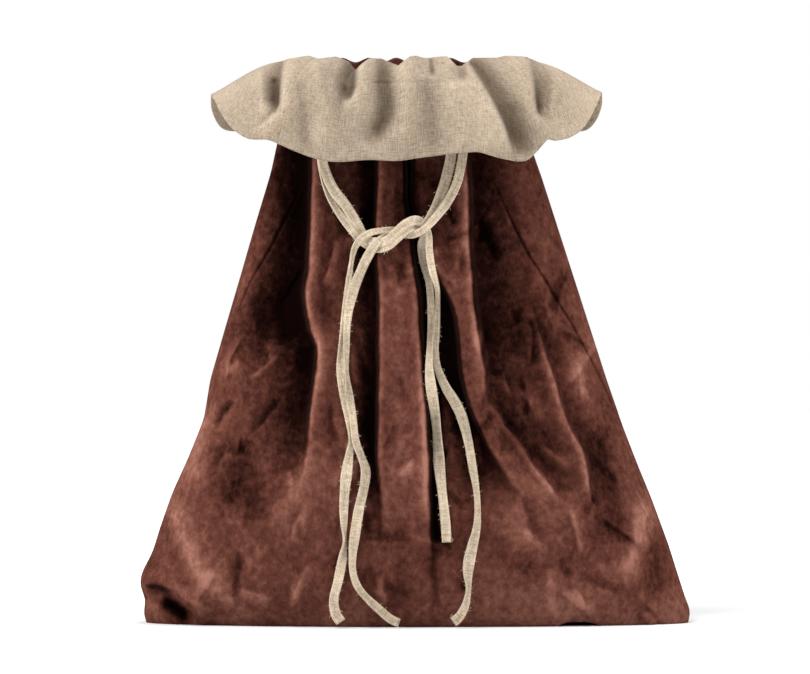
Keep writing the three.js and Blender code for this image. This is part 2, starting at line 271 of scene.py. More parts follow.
FRONT_CRUMPLES, BACK_CRUMPLES = crumples(51, 110), crumples(52, 90)
WANDER = 2.0
SOFT_WRINKLE, FINE_WRINKLE = 2.6, 1.3  # heights in mm


def waves(x, z, seed, scale, count=7):
    """Soft wrinkles: a few waves in different directions, longer up and down than across."""
    numbers = np.random.default_rng(seed)
    total = np.zeros(np.shape(x))
    for _ in range(count):
        kx, kz = numbers.normal(0, 1.0 / scale), numbers.normal(0, 0.45 / scale)
        bend = 1.5 * np.sin(x * kz * 0.7 + z * kx * 0.5 + numbers.uniform(0, 6))
        total += np.sin(2 * np.pi * (x * kx + z * kz) * 0.5 + numbers.uniform(0, 6) + bend)
    return total / count


def gathers(x, z, seed):
    """The small gathers just under the channel, which the cuff hides on the front."""
    numbers = np.random.default_rng(seed)
    total = np.zeros(np.shape(x))
    for at in np.arange(-118, 90, 17):
        line = [(at, 560), (at * 1.02, NECK_Z), (at * 1.1, 470 - numbers.uniform(0, 25))]
        total += stroke(x, z, 7, 5, 5, line)
    return total * smoothstep(462, 485, z)


def wandering(x, z):
    """x, z moved by up to WANDER mm, so that no fold's edge runs quite straight."""
    return x + WANDER * waves(x, z, 61, 34), z + WANDER * waves(x, z, 62, 40)


def front_height(x, z):
    x, z = wandering(x, z)
    total = sum(stroke(x, z, *fold) for fold in FRONT_FOLDS + FRONT_CRUMPLES)
    total = total + gathers(x, z, 3)
    rough = smoothstep(0, 60, z) * (1 - 0.6 * smoothstep(300, 460, z))
    return total + SOFT_WRINKLE * waves(x, z, 11, 60) * rough + FINE_WRINKLE * waves(x, z, 12, 24) * rough


# Painted shade and painted highlights: each stroke darkens the velvet along a fold's hidden side or lightens
# it along a fold's edge.
FRONT_PAINTED_SHADE = [
    (-0.36, 30, 2, shifted(PLEAT_1, -2)),
    (0.14, 2, 13, shifted(PLEAT_1, 2)),
    (-0.12, 3, 15, [(-88, 420), (-92, 384), (-96, 330), (-98, 280)]),
    (-0.42, 17, 2, shifted(PLEAT_2_LEFT, -2)),
    (0.12, 12, 12, [(-28, 480), (-26, 400), (-22, 330), (-18, 270), (-15, 200), (-14, 120)]),
    (-0.48, 2, 12, shifted(PLEAT_2_RIGHT, 2)),
    (-0.42, 16, 2, shifted(PLEAT_3_LEFT, -2)),
    (0.16, 12, 2, shifted(PLEAT_3_RIGHT, -2)),
    (-0.26, 2, 30, shifted(PLEAT_3_RIGHT, 2)),
    (-0.16, 7, 20, shifted(PLEAT_3_RUN_OUT, 4)),
    (-0.07, 20, 24, [(96, 440), (100, 380), (106, 320), (112, 260), (130, 190)]),
    (0.10, 12, 14, [(122, 420), (132, 380), (126, 340), (116, 318)]),
    (-0.10, 22, 18, [(-138, 420), (-142, 330), (-152, 250), (-164, 190)]),
    (0.08, 14, 14, [(-120, 470), (-150, 400), (-176, 340), (-200, 270)]),
    (-0.14, 10, 10, [(8, 470), (16, 440), (34, 452)]),
    (0.22, 1.5, 5, shifted(PLEAT_1, 1)),
    (0.16, 1.5, 4, shifted(PLEAT_2_LEFT, 1)),
    (0.22, 5, 1.5, shifted(PLEAT_2_RIGHT, -1)),
    (0.20, 5, 1.5, shifted(PLEAT_3_RIGHT, -1)),
    (0.10, 1.5, 4, shifted(PLEAT_3_LEFT, 1)),
    (0.16, 6, 2, LOW_CREASE),
    (-0.30, 2, 10, shifted(LOW_CREASE, 3)),
    (-0.20, 14, 3, shifted(LEFT_CREASE, 2)),
    (-0.24, 14, 12, [(30, 300), (36, 240), (46, 190), (60, 150), (80, 110)]),
    (0.26, 5, 1.4, RIGHT_CREST),
    (-0.16, 1.4, 15, shifted(RIGHT_CREST, 2)),
    (0.24, 5, 1.4, INNER_CREST),
    (-0.16, 1.4, 15, shifted(INNER_CREST, 2)),
    (-0.20, 12, 9, [(104, 230), (122, 196), (142, 160), (160, 124)]),
    (-0.18, 12, 9, [(176, 210), (186, 160), (196, 110), (200, 74)]),
    (0.26, 7, 12, RIGHT_CORNER),
    (-0.16, 12, 14, [(236, 100), (240, 54), (236, 20)]),
    (0.20, 9, 12, LEFT_EDGE),
    (0.24, 8, 16, LEFT_CORNER),
    (-0.20, 18, 16, [(-196, 190), (-176, 140), (-150, 100)]),
    (0.14, 10, 16, [(-96, 190), (-118, 140), (-136, 112), (-160, 84)]),
    (-0.35, 3, 3, [(-274, 37), (-258, 38), (-246, 34), (-240, 30)]),
    (-0.5, 7, 5, [(-256, 26), (-246, 20), (-236, 14), (-226, 4)]),
    (0.12, 8, 8, [(-270, 28), (-262, 14), (-256, 2)]),
    (0.16, 5, 8, [(-250, 44), (-234, 34), (-216, 20), (-204, 4)]),
    (-0.14, 5, 5, [(22, 120), (14, 70), (20, 34), (12, 12)]),
    (-0.12, 16, 14, [(60, 110), (90, 70), (130, 46)]),
    (-0.12, 8, 8, [(-60, 60), (-36, 44), (0, 30)]),
    (-0.2, 1.3, 1.3, LEFT_SEAM),
    (-0.22, 1.3, 1.3, RIGHT_SEAM),
]


def front_painted_shade(x, z):
    x, z = wandering(x, z)
    # Painted shade: darker from the bottom up and darkest just under the cuff, as its shadow; soft random
    # patches, slightly darker to the left and lighter to the right; the crumples' ridges painted lighter and
    # their hollows darker.
    fall = 0.63 - 0.08 * smoothstep(0, 90, z) - 0.07 * smoothstep(120, 330, z)
    fall = fall - 0.05 * smoothstep(300, 470, z)
    soft = 0.11 * waves(x, z, 41, 80) + 0.09 * waves(x, z, 42, 30) - 0.02 * smoothstep(-60, -160, x)
    soft = soft + 0.035 * smoothstep(60, 120, x)
    marks = 0.065 * sum(stroke(x, z, *fold) for fold in FRONT_CRUMPLES)
    return fall + soft + marks + sum(stroke(x, z, *line) for line in FRONT_PAINTED_SHADE)


def back_painted_shade(x, z):
    # Painted shade: darker towards the top, the folds' ridges painted lighter and their hollows darker, and
    # soft random patches.
    fall = 0.56 - 0.16 * smoothstep(150, 470, z)
    fold_painted_shade = sum(stroke(x, z, height * 0.04, left, right, line) for height, left, right, line in BACK_FOLDS)
    return fall + fold_painted_shade + 0.16 * waves(x, z, 43, 80) + 0.13 * waves(x, z, 44, 30)


def back_folds():
    numbers = np.random.default_rng(5)
    folds = []
    for at in np.linspace(-96, 66, 7):
        at = at + numbers.uniform(-6, 6)
        foot = numbers.uniform(90, 260)
        fan = 1.0 + 0.95 * (500 - foot) / 500
        line = [(at, 520), (at, 480), (at * (1 + fan) / 2 - 3, (480 + foot) / 2), (at * fan, foot)]
        lean = numbers.choice([-1, 1])
        sharp, soft = 3.0, numbers.uniform(14, 22)
        left, right = (sharp, soft) if lean < 0 else (soft, sharp)
        folds.append((numbers.uniform(6, 9), left, right, line))
        folds.append((-numbers.uniform(8, 12), right, left, shifted(line, 6 * lean)))
    folds.append((6, 12, 12, [(-200, 180), (-216, 120), (-206, 40)]))
    folds.append((5, 10, 14, [(190, 190), (214, 120), (200, 40)]))
    return folds


BACK_FOLDS = back_folds()


def back_height(x, z):
    total = sum(stroke(x, z, *fold) for fold in BACK_FOLDS + BACK_CRUMPLES)
    total = total + gathers(x, z, 8)
    return total + SOFT_WRINKLE * waves(x, z, 21, 60) + FINE_WRINKLE * waves(x, z, 22, 24)


def body_y(x, z, side):
    """The velvet's y at x, z, in mm: side is -1 on the front and 1 on the back."""
    middle, half = middle_and_half(z)
    across = np.clip((x - middle) / half, -1, 1)
    height = front_height(x, z) if side < 0 else back_height(x, z)
    edge = np.sqrt(np.clip((1 - across**2) * EDGE_FADE, 0, 1))
    return side * ((half_depth(z) - SINK) * np.sqrt(1 - across**2) + height * edge)


# ------------------------------------------------------------------ mesh tools
def mesh_object(name, points, faces, uvs=None):
    """An object from points in mm; uvs has one pair for each point."""
    mesh = bpy.data.meshes.new(name)
    mesh.from_pydata((np.asarray(points) * MM).tolist(), [], faces)
    if uvs is not None:
        layer = mesh.uv_layers.new(name="cloth")
        corners = np.zeros(len(mesh.loops), np.int32)
        mesh.loops.foreach_get("vertex_index", corners)
        layer.data.foreach_set("uv", np.asarray(uvs, np.float32)[corners].ravel())
    mesh.shade_smooth()
    made = bpy.data.objects.new(name, mesh)
    bpy.context.scene.collection.objects.link(made)
    return made


def grid_faces(rows, columns, flip=False, loop=False):
    faces = []
    for r in range(rows - 1):
        for c in range(columns if loop else columns - 1):
            n = (c + 1) % columns
            quad = (r * columns + c, r * columns + n, (r + 1) * columns + n, (r + 1) * columns + c)
            faces.append(quad[::-1] if flip else quad)
    return faces


def lay_painted_shade(piece, values):
    """Give the mesh its painted shade and painted light, one value for each point or one for all."""
    layer = piece.data.attributes.new("shade", "FLOAT", "POINT")
    values = np.resize(np.asarray(values, np.float32), len(piece.data.vertices))
    layer.data.foreach_set("value", values)


def thicken(obj, thickness, offset=-1.0):
    made = obj.modifiers.new("cloth thickness", "SOLIDIFY")
    made.thickness = thickness * MM
    made.offset = offset
    made.use_even_offset = False


# ------------------------------------------------------------------ materials
class Nodes:
    """Short calls for building a material's nodes."""

    def __init__(self, name):
        self.material = bpy.data.materials.new(name)
        self.material.use_nodes = True
        self.tree = self.material.node_tree
        self.shader = self.tree.nodes["Principled BSDF"]

    def plug(self, socket, value):
        if isinstance(value, bpy.types.NodeSocket):
            self.tree.links.new(value, socket)
        else:
            socket.default_value = value

    def add(self, kind, inputs=None, **settings):
        node = self.tree.nodes.new(kind)
        for key, value in settings.items():
            setattr(node, key, value)
        for key, value in (inputs or {}).items():
            self.plug(node.inputs[key], value)
        return node

    def place(self, scale=(1, 1, 1), source="Object"):
        where = self.add("ShaderNodeTexCoord").outputs[source]
        return self.add("ShaderNodeMapping", {"Vector": where, "Scale": scale}).outputs[0]

    def noise(self, scale, detail=4.0, stretch=(1, 1, 1), source="Object", rough=0.55):
        where = self.place(stretch, source)
        inputs = {"Vector": where, "Scale": scale, "Detail": detail, "Roughness": rough}
        return self.add("ShaderNodeTexNoise", inputs).outputs[0]

    def ramp(self, value, stops):
        node = self.add("ShaderNodeValToRGB", {0: value})
        band = node.color_ramp
        while len(band.elements) < len(stops):
            band.elements.new(0.5)
        for element, (at, colour) in zip(band.elements, stops):
            element.position, element.color = at, (*colour, 1)
        return node.outputs[0]

    def mix(self, share, one, other, blend="MIX"):
        node = self.add("ShaderNodeMix", data_type="RGBA", blend_type=blend)
        for index, value in ((0, share), (6, one), (7, other)):
            self.plug(node.inputs[index], value)
        return node.outputs[2]

    def math(self, operation, one, other=0.0):
        return self.add("ShaderNodeMath", {0: one, 1: other}, operation=operation).outputs[0]

    def bump(self, height, strength, distance, under=None):
        inputs = {"Height": height, "Strength": strength, "Distance": distance}
        if under is not None:
            inputs["Normal"] = under
        return self.add("ShaderNodeBump", inputs).outputs[0]

    def surface(self, **inputs):
        for key, value in inputs.items():
            self.plug(self.shader.inputs[key.replace("_", " ")], value)
        return self.material


def velvet_material(name, shades):
    """Velvet whose colour is darker or lighter with the mesh's painted shade and painted highlights, and with
    soft random patches.
    """
    n = Nodes(name)
    patches = n.noise(34, 6, (1, 1, 0.8), rough=0.6)
    marks = n.noise(150, 4, (1, 1, 0.85), rough=0.65)
    both = n.math("ADD", n.math("MULTIPLY", patches, 0.25), n.math("MULTIPLY", marks, 0.55))
    shade = n.add("ShaderNodeAttribute", attribute_name="shade").outputs["Fac"]
    colour = n.ramp(n.math("ADD", shade, n.math("SUBTRACT", both, 0.4)), shades)
    pile = n.noise(1500, 2)
    crush = n.bump(n.noise(48, 6, (1, 1, 0.8), rough=0.62), 0.5, 0.006)
    fine = n.bump(n.noise(330, 3, (1, 1, 0.7)), 0.3, 0.0012, crush)
    return n.surface(Base_Color=colour, Roughness=0.92, Sheen_Weight=0.04, Sheen_Roughness=0.35,
                     Sheen_Tint=(1.0, 0.5, 0.38, 1), Specular_IOR_Level=0.0,
                     Normal=n.bump(pile, 0.35, 0.0006, fine))


def linen_material(name, dark, light):
    n = Nodes(name)
    warp = n.noise(1, 2, (780, 100, 1), "UV", 0.5)
    weft = n.noise(1, 2, (100, 780, 1), "UV", 0.5)
    slubs = n.noise(1, 3, (420, 40, 1), "UV", 0.6)
    threads = n.math("ADD", n.math("MULTIPLY", warp, 0.42), n.math("MULTIPLY", weft, 0.42))
    threads = n.math("ADD", threads, n.math("MULTIPLY", slubs, 0.16))
    patches = n.noise(14, 3)
    woven = n.ramp(threads, [(0.38, dark), (0.62, light)])
    stained = n.ramp(patches, [(0.35, dark), (0.7, light)])
    colour = n.mix(0.3, woven, stained)
    flecks = n.ramp(n.noise(820, 2), [(0.3, (0.6, 0.54, 0.46)), (0.44, (1, 1, 1)), (1, (1.04, 1.04, 1.03))])
    colour = n.mix(0.8, colour, flecks, "MULTIPLY")
    fold_painted_shade = n.add("ShaderNodeAttribute", attribute_name="shade").outputs["Fac"]
    # Painted shade and light: the mesh's painted shade value darkens the linen in the folds' hollows and on
    # the tapes' backs, and lightens it on ridges and raised edges.
    depth = n.ramp(fold_painted_shade, [(0, (0.42, 0.37, 0.32)), (0.5, (0.92, 0.92, 0.92)), (0.9, (1.15, 1.14, 1.12))])
    return n.surface(Base_Color=n.mix(1.0, colour, depth, "MULTIPLY"), Roughness=0.95, Specular_IOR_Level=0.1,
                     Sheen_Weight=0.08, Sheen_Roughness=0.6, Normal=n.bump(threads, 0.8, 0.0012))


def thread_material(name, colour):
    n = Nodes(name)
    shade = n.ramp(n.noise(900, 2), [(0.35, tuple(0.6 * c for c in colour)), (0.65, colour)])
    return n.surface(Base_Color=shade, Roughness=0.8, Normal=n.bump(n.noise(1400, 1), 0.5, 0.0006))


# The velvet's colours, from its darkest painted shade to its lightest painted highlight, picked by the
# painted shade value.
PILE = [(0.1, (0.0036, 0.0012, 0.001)), (0.26, (0.0145, 0.0044, 0.0032)), (0.42, (0.05, 0.016, 0.0111)),
        (0.58, (0.106, 0.0365, 0.0255)), (0.73, (0.178, 0.071, 0.05)), (0.9, (0.3, 0.134, 0.1))]
PILE_INSIDE = [(at, tuple(0.5 * c for c in shade)) for at, shade in PILE]
VELVET = velvet_material("velvet", PILE)
VELVET_INSIDE = velvet_material("velvet_inside", PILE_INSIDE)
LINEN = linen_material("cuff_linen", (0.195, 0.145, 0.1), (0.425, 0.35, 0.265))
TAPE_LINEN = linen_material("tape_linen", (0.27, 0.205, 0.138), (0.72, 0.6, 0.455))
STITCH = thread_material("stitch_thread", (0.36, 0.28, 0.19))
FIBRE = thread_material("loose_fibre", (0.7, 0.6, 0.46))
END_STITCH = thread_material("end_thread", (0.5, 0.3, 0.13))


def dress(obj, material, body=None):
    obj.data.materials.clear()
    obj.data.materials.append(material)
    if body:
        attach(obj, body)
    return obj


# ------------------------------------------------------------------ ties
TAPE_WIDTH, TAPE_THICK = 12.0, 1.5
TAPE_FILL = 0.88  # share of its width that a flat tape shows
FIBRES = 90  # loose fibres on each tape
SWAY, TWIST, PINCH = 0.7, 24, 0.1  # below the knot: mm to the sides, degrees, and share of the width
SOFTEN = 17  # points of a tape's line over which it bridges the velvet's folds
STITCH_RING = -4  # the ring of a tape's section, from its end, that the end stitches lie on
# Each point: x, height, distance in front of the velvet, turn of the tape in degrees, share of its width.
ROUTE_TABLES = {
    "left_tail_outer": """
        33 498 -1 0 1, 33 496 4 0 0.9, 34 488 5 0 0.9, 35 474 4 0 0.95, 33 460 4 0 1, 29 443 4 0 1,
        23 425 5 0 1, 16 410 7 0 0.9, 7 398 11 0 0.7, -4 393 8 0 0.6, -14 392 4 0 0.6, -24 393.5 4 0 0.6,
        -35 392.5 5 0 0.6, -46 390.5 9 0 0.65, -56 384 11 0 0.7, -62 374 8 20 0.6, -64.5 361 5 50 0.5,
        -66 349 4 30 0.6, -68 335 3 0 0.7, -71 312 3 0 0.7, -73.5 284 3 0 0.8, -74.5 258 3 0 0.85,
        -71.5 234 3 0 0.9, -67.5 208 3 0 0.8, -65 186 3 10 0.7, -67 172 3 0 0.75, -69.5 149 3 0 1,
        -71 124 3 0 1, -71.5 104 3 20 0.75, -71.5 87 3 50 0.6, -73.5 71 3 10 0.8, -77.5 49 3 0 1,
        -81.5 29 4 0 1, -79.5 15 5 0 0.95, -74 6.5 7 0 0.9""",
    "left_tail_inner": """
        39 502 -1 0 1, 39.5 500 5 0 0.9, 43 491 7 0 0.9, 46 476 7 0 0.9, 45 462 7 10 0.9, 40 440 7 10 0.9,
        31 422 8 10 0.9, 20 407 11 10 0.8, 8 394.5 14 0 0.7, -4 388.5 11 0 0.7, -16 389 5 0 0.6,
        -28 388 5 0 0.6, -39 381 8 0 0.8, -48 368 9 0 0.95, -57 350 7 0 1, -64 331 6 0 0.95,
        -67.5 308 6 0 0.8, -69 280 6 20 0.7, -70 252 7 35 0.7, -67 228 6 20 0.8, -63 208 6 0 0.8,
        -60 186 5 10 0.7, -54 169 4 20 0.75, -50 155 3 0 1, -52.5 138 3 0 1, -57.5 118 3 0 1,
        -60.5 98 3 0 0.95, -62.5 78 3 10 0.85, -62.5 58 3 0 0.75, -58.5 43 4 0 0.75, -50 31 5 20 0.65,
        -38 19.5 7 0 0.8, -27 10 10 0 0.9, -18 6 14 0 0.9""",
    "right_tail_short": """
        -78 498 -1 0 1, -80 496 4 0 0.9, -88 488 6 0 0.8, -95 474 5 20 0.7, -96 462 4 30 0.6,
        -91 438 4 30 0.6, -82 418 4 20 0.7, -69 399 4 0 0.75, -56 383 3 0 0.7, -46 377 3 0 0.8,
        -37 375 5 0 0.85, -27 378 9 0 0.8, -17 387 13 0 0.8, -7 395 14 0 0.8, 2 397 10 20 0.7,
        7 390 6 30 0.7, 5 378 3 10 0.8, 7 362 3 0 0.8, 12 340 3 0 0.75, 14 312 3 0 0.65, 14 285 3 10 0.65,
        13 262 3 15 0.75, 14 240 3 0 1, 17 215 3 0 1, 20 190 3 0 1, 23 160 3 0 1, 26 130 3 0 1,
        28 104 3 0 0.95, 29 85 3 0 0.85""",
    "right_tail_long": """
        -73 502 -1 0 1, -75 500 6 0 0.9, -83 492 9 0 0.8, -92 478 8 0 0.8, -93 460 8 10 0.9, -84 436 8 0 1,
        -70 417 8 0 1, -60 401 7 0 0.95, -51 387 5 0 0.8, -40 381 6 0 0.85, -29 383 10 0 0.9,
        -20 391 14 0 0.9, -11 399 16 0 0.9, -1 403 15 0 0.9, 7 399 10 20 0.8, 12 388 6 30 0.7,
        12.5 374 5 10 0.7, 15 354 6 0 0.7, 20 334 6 -20 0.6, 21 312 6 -30 0.6, 20 290 7 -25 0.65,
        19 274 7 -15 0.7, 21 256 7 -10 0.8, 28 238 6 0 0.9, 36.5 224 4 0 1, 44.5 208 4 0 1, 51.5 184 4 0 1,
        55.5 161 4 15 0.8, 58.5 138 4 40 0.6, 59.5 118 4 30 0.65, 58.5 98 4 0 0.8, 54.5 78 3 0 1,
        51.5 58 3 0 1, 51.5 39 4 50 0.6, 48.5 24 5 15 0.75, 42 12 7 0 0.85, 35.5 6.5 9 0 0.9""",
}
ROUTES = {name: [tuple(map(float, point.split())) for point in table.split(",")]
          for name, table in ROUTE_TABLES.items()}
TIE_NODES = {
    "left_tail_outer": ["left_tail_outer", "left_tail_outer_tack", "right_strand_outer", "knot_right_loop"],
    "left_tail_inner": ["left_tail_inner", "left_tail_inner_tack", "right_strand_inner"],
    "right_tail_short": ["right_tail_short", "right_tail_short_tack", "left_strand_inner", "knot_left_loop"],
    "right_tail_long": ["right_tail_long", "right_tail_long_tack", "left_strand_outer"],
}
# For each pair of tails, a point near the knot and a direction, given to blend, which does not use them.
SWING = {"left": ((-60, 352), (0.0, -1 / 22)), "right": ((14, 379), (1 / 60, -1 / 22))}


def velvet_reach(x, z):
    """How far forward the velvet stands round each x, z, so that a tape lies over its folds."""
    reach = np.full(np.shape(x), -1e9)
    for dx in (-5, 0, 5):
        for dz in (-6, 0, 6):
            reach = np.maximum(reach, -body_y(x + dx, np.clip(z + dz, 0, MOUTH_Z), -1))
    return reach


def tie_line(route):
    """The tape's line as x, y, z, turn, share: it lies over the velvet at the route's distance."""
    flat = spline(route, 2.5)
    wander = np.arange(len(flat)) + 10 * route[0][0]
    free = smoothstep(380, 340, flat[:, 1])
    flat[:, 0] += SWAY * np.sin(wander / 7.3) * free
    flat[:, 3] += TWIST * np.sin(wander / 6.1) * free
    flat[:, 4] *= 1 + PINCH * np.sin(wander / 4.7) * free
    reach = velvet_reach(flat[:, 0], flat[:, 1])
    soft = np.hanning(SOFTEN)
    reach = np.convolve(np.pad(reach, SOFTEN // 2, "edge"), soft / soft.sum(), "valid")
    hang = np.maximum.accumulate(reach) - reach
    reach = reach + np.clip(hang, 0, 40) * smoothstep(90, 20, flat[:, 1])
    return np.column_stack([flat[:, 0], -reach - flat[:, 2], flat[:, 1:2], flat[:, 3:]])


def ribbon(name, line):
    """A flat tape along x, y, z, turn, share of width.

    Returns the tape, its frays, its centreline and length, and the place of its end stitches."""
    centre = line[:, :3]
    ahead = np.gradient(centre, axis=0)
    ahead /= np.linalg.norm(ahead, axis=1)[:, None]
    front = np.array([0.0, -1.0, 0.0])
    face = front - ahead * (ahead @ front)[:, None]
    face /= np.maximum(np.linalg.norm(face, axis=1), 0.2)[:, None]
    for _ in range(6):
        face[1:-1] = (face[:-2] + face[1:-1] + face[2:]) / 3
    face -= ahead * np.sum(face * ahead, axis=1)[:, None]
    face /= np.linalg.norm(face, axis=1)[:, None]
    wide = np.cross(ahead, face)
    turn = np.radians(line[:, 3])[:, None]
    across = wide * np.cos(turn) + face * np.sin(turn)
    out = face * np.cos(turn) - wide * np.sin(turn)
    share = TAPE_FILL * line[:, 4:5]
    half, deep = TAPE_WIDTH / 2 * share, TAPE_THICK / 2 / np.sqrt(share)
    section = [(-1, 0), (-0.97, 0.8), (-0.82, 1.2), (-0.4, 0.55), (0, 0.4), (0.4, 0.55), (0.82, 1.2),
               (0.97, 0.8), (1, 0), (0.97, -0.7), (0.85, -1.0), (0, -0.8), (-0.85, -1.0), (-0.97, -0.7)]
    # Painted light and shade across the tape's section: the raised edges lighter, the middle darker, and the
    # back, facing the velvet, in painted shade.
    painted_section_shade = [0.5, 0.7, 0.9, 0.62, 0.5, 0.62, 0.9, 0.7, 0.5, 0.36, 0.3, 0.3, 0.3, 0.36]
    rings = np.stack([centre + across * half * a + out * deep * b for a, b in section], axis=1)
    count, sides = rings.shape[:2]
    faces = grid_faces(count, sides, flip=True, loop=True)
    faces += [tuple(range(sides)), tuple(range((count - 1) * sides, count * sides))[::-1]]
    along = lengths_along(centre)
    uvs = [((a + 1) / 2 * TAPE_WIDTH * MM, v * MM) for v in along for a, _ in section]
    piece = mesh_object(name, rings.reshape(-1, 3), faces, uvs)
    sway = 0.09 * np.sin(along / 8.3 + line[0, 0]) + 0.08 * np.sin(along / 19)
    lay_painted_shade(piece, (sway[:, None] + np.array(painted_section_shade)).ravel())
    edges = np.concatenate([centre - across * half, centre + across * half])
    frays = fray(f"{name}_frays", edges, np.concatenate([-across, across]), np.concatenate([ahead, ahead]))
    end = [values[STITCH_RING] for values in (centre, across, out, half[:, 0], deep[:, 0])]
    return piece, frays, centre, along[-1], end


def capsule_row(name, starts, ends, radius, sides=7):
    """Short round stitches from starts to ends."""
    points, faces = [], []
    for a, b in zip(np.asarray(starts, float), np.asarray(ends, float)):
        run = b - a
        length = np.linalg.norm(run)
        run /= length
        side = np.cross(run, (0.3, 1.0, 0.2))
        side /= np.linalg.norm(side)
        up = np.cross(run, side)
        first = len(points)
        rings = [(0.0, 0.25), (0.12, 0.8), (0.35, 1.0), (0.65, 1.0), (0.88, 0.8), (1.0, 0.25)]
        for share, size in rings:
            for i in range(sides):
                angle = 2 * math.pi * i / sides
                around = side * math.cos(angle) + up * math.sin(angle)
                points.append(a + run * length * share + radius * size * around)
        for face in grid_faces(len(rings), sides, loop=True):
            faces.append(tuple(first + i for i in face))
        faces.append(tuple(first + i for i in range(sides))[::-1])
        last = first + (len(rings) - 1) * sides
        faces.append(tuple(last + i for i in range(sides)))
    return mesh_object(name, points, faces)


def fray(name, edges, outward, ahead):
    """Short loose fibres along a tape's edges."""
    numbers = np.random.default_rng(len(edges))
    chosen = numbers.choice(len(edges), FIBRES, replace=False)
    lean = numbers.uniform(-1.2, 1.2, (FIBRES, 1))
    length = numbers.uniform(1.0, 3.2, (FIBRES, 1))
    starts = edges[chosen] - outward[chosen] * 0.4
    forward = np.array([0, -1.0, 0]) * numbers.uniform(0, 0.5, (FIBRES, 1))
    ends = starts + (outward[chosen] + ahead[chosen] * lean + forward) * length
    return capsule_row(name, starts, ends, 0.17, 4)


def make_ties():
    for name, route in ROUTES.items():
        side = name.split("_")[0]
        body = f"{side}_tails"
        line = tie_line(route)
        piece, frays, centre, length, end = ribbon(f"tie_{name}", line)
        dress(piece, TAPE_LINEN)
        dress(frays, FIBRE)
        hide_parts(*TIE_NODES[name])
        at, across, out, half, deep = end
        rows = np.linspace(-0.72, 0.72, 4)[:, None] * across * half + at + out * (deep + 0.1)
        tack = capsule_row(f"tie_{name}_tack", rows - across * 0.8, rows + across * 0.8, 0.4)
        dress(tack, END_STITCH, body)
        (x, z), (run_x, run_z) = SWING[side]
        blend(piece, body, (x, 0, z), (run_x, 0, run_z))
        blend(frays, body, (x, 0, z), (run_x, 0, run_z))


def blend(obj, body, origin, gradient):
    """Bake the piece's transform into its mesh. The body, origin and gradient are not used."""
    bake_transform(obj)


make_ties()

# ------------------------------------------------------------------ velvet body
PANEL_ROWS, PANEL_COLUMNS, BASE_ROWS, STRIP_COLUMNS = 250, 320, 8, 200
VELVET_THICK, STRIP_THICK, SEAM_THICK = 2.2, 1.2, 2.4


def wall(side, z, inset, columns, share=None):
    """Points of the sack's wall at heights z, as rows of columns from the left side to the right one.

    With an inset, the wall lies inside the velvet's folds without crossing them."""
    even = np.linspace(-1, 1, columns)
    across = 0.6 * even + 0.4 * np.sin(even * np.pi / 2)
    height, across = np.meshgrid(z, across, indexing="ij")
    middle, half = middle_and_half(height)
    y = body_y(middle + across * half, height, side)
    depth = side * y
    for step in range(1, int(inset) + 1):
        depth[:, step:] = np.minimum(depth[:, step:], side * y[:, :-step])
        depth[:, :-step] = np.minimum(depth[:, :-step], side * y[:, step:])
    y = side * np.maximum(0, depth - inset)
    if share is not None:
        y = y * share[:, None]
    return np.stack([middle + across * (half - inset), y, height], axis=-1)


def velvet_panel(name, side, node):
    rise = np.linspace(0, MOUTH_Z, PANEL_ROWS - BASE_ROWS)
    z = np.concatenate([np.zeros(BASE_ROWS), rise])
    share = np.concatenate([np.linspace(0, 1, BASE_ROWS, endpoint=False), np.ones(len(rise))])
    points = wall(side, z, 0, PANEL_COLUMNS, share)
    if side < 0:
        # the bottom edge lifts off the floor in a low arch near the right corner
        arch = smoothstep(136, 152, points[..., 0]) * smoothstep(186, 168, points[..., 0])
        points[..., 2] += 4 * arch * smoothstep(26, 0, points[..., 2]) * share[:, None]
    piece = mesh_object(name, points.reshape(-1, 3), grid_faces(*points.shape[:2], flip=side > 0))
    # The velvet's painted shade and painted highlights, one value for each point.
    painted_shade_for = front_painted_shade if side < 0 else back_painted_shade
    lay_painted_shade(piece, painted_shade_for(points[..., 0], points[..., 2]))
    thicken(piece, VELVET_THICK)
    dress(piece, VELVET, "sack_body")
    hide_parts(node)
    return piece


def strip(name, side, low, high, inset, rows, material, node):
    """A band sewn inside the neck between two heights; the part above the mouth stands up and ripples."""
    z = np.linspace(low, high, rows)
    points = wall(side, np.minimum(z, MOUTH_Z), inset, STRIP_COLUMNS)
    points[..., 2] = z[:, None]
    above = smoothstep(MOUTH_Z, max(high, MOUTH_Z + 1), z)
    points[..., 2] += 2.2 * np.sin(points[..., 0] / 4.3) * above[:, None]
    piece = mesh_object(name, points.reshape(-1, 3), grid_faces(*points.shape[:2], flip=side > 0))
    lay_painted_shade(piece, 0.5)
    thicken(piece, STRIP_THICK, 0)
    dress(piece, material, "sack_body")
    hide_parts(node)
    return piece


SEAM_WIDTH, SEAM_STEPS = 10.0, 150


def seam_allowance(node, start, end, inward):
    """The two edges of cloth behind a seam, turned inside: they run from start to end and reach inward."""
    along = np.linspace(0, 1, SEAM_STEPS)[:, None, None]
    reach = np.linspace(0, 1, 6)[None, :, None]
    points = np.array(start) + along * np.subtract(end, start) + reach * np.array(inward)
    run = np.linalg.norm(np.subtract(end, start)) * along[..., 0]
    points[..., 1] += reach[..., 0] * (0.9 * np.sin(run / 7) + 0.6 * np.sin(run / 19))
    piece = mesh_object(f"sewn_{node}", points.reshape(-1, 3), grid_faces(SEAM_STEPS, 6))
    lay_painted_shade(piece, 0.45)
    thicken(piece, SEAM_THICK, 0)
    dress(piece, VELVET_INSIDE, "sack_body")
    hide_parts(node)
    return piece


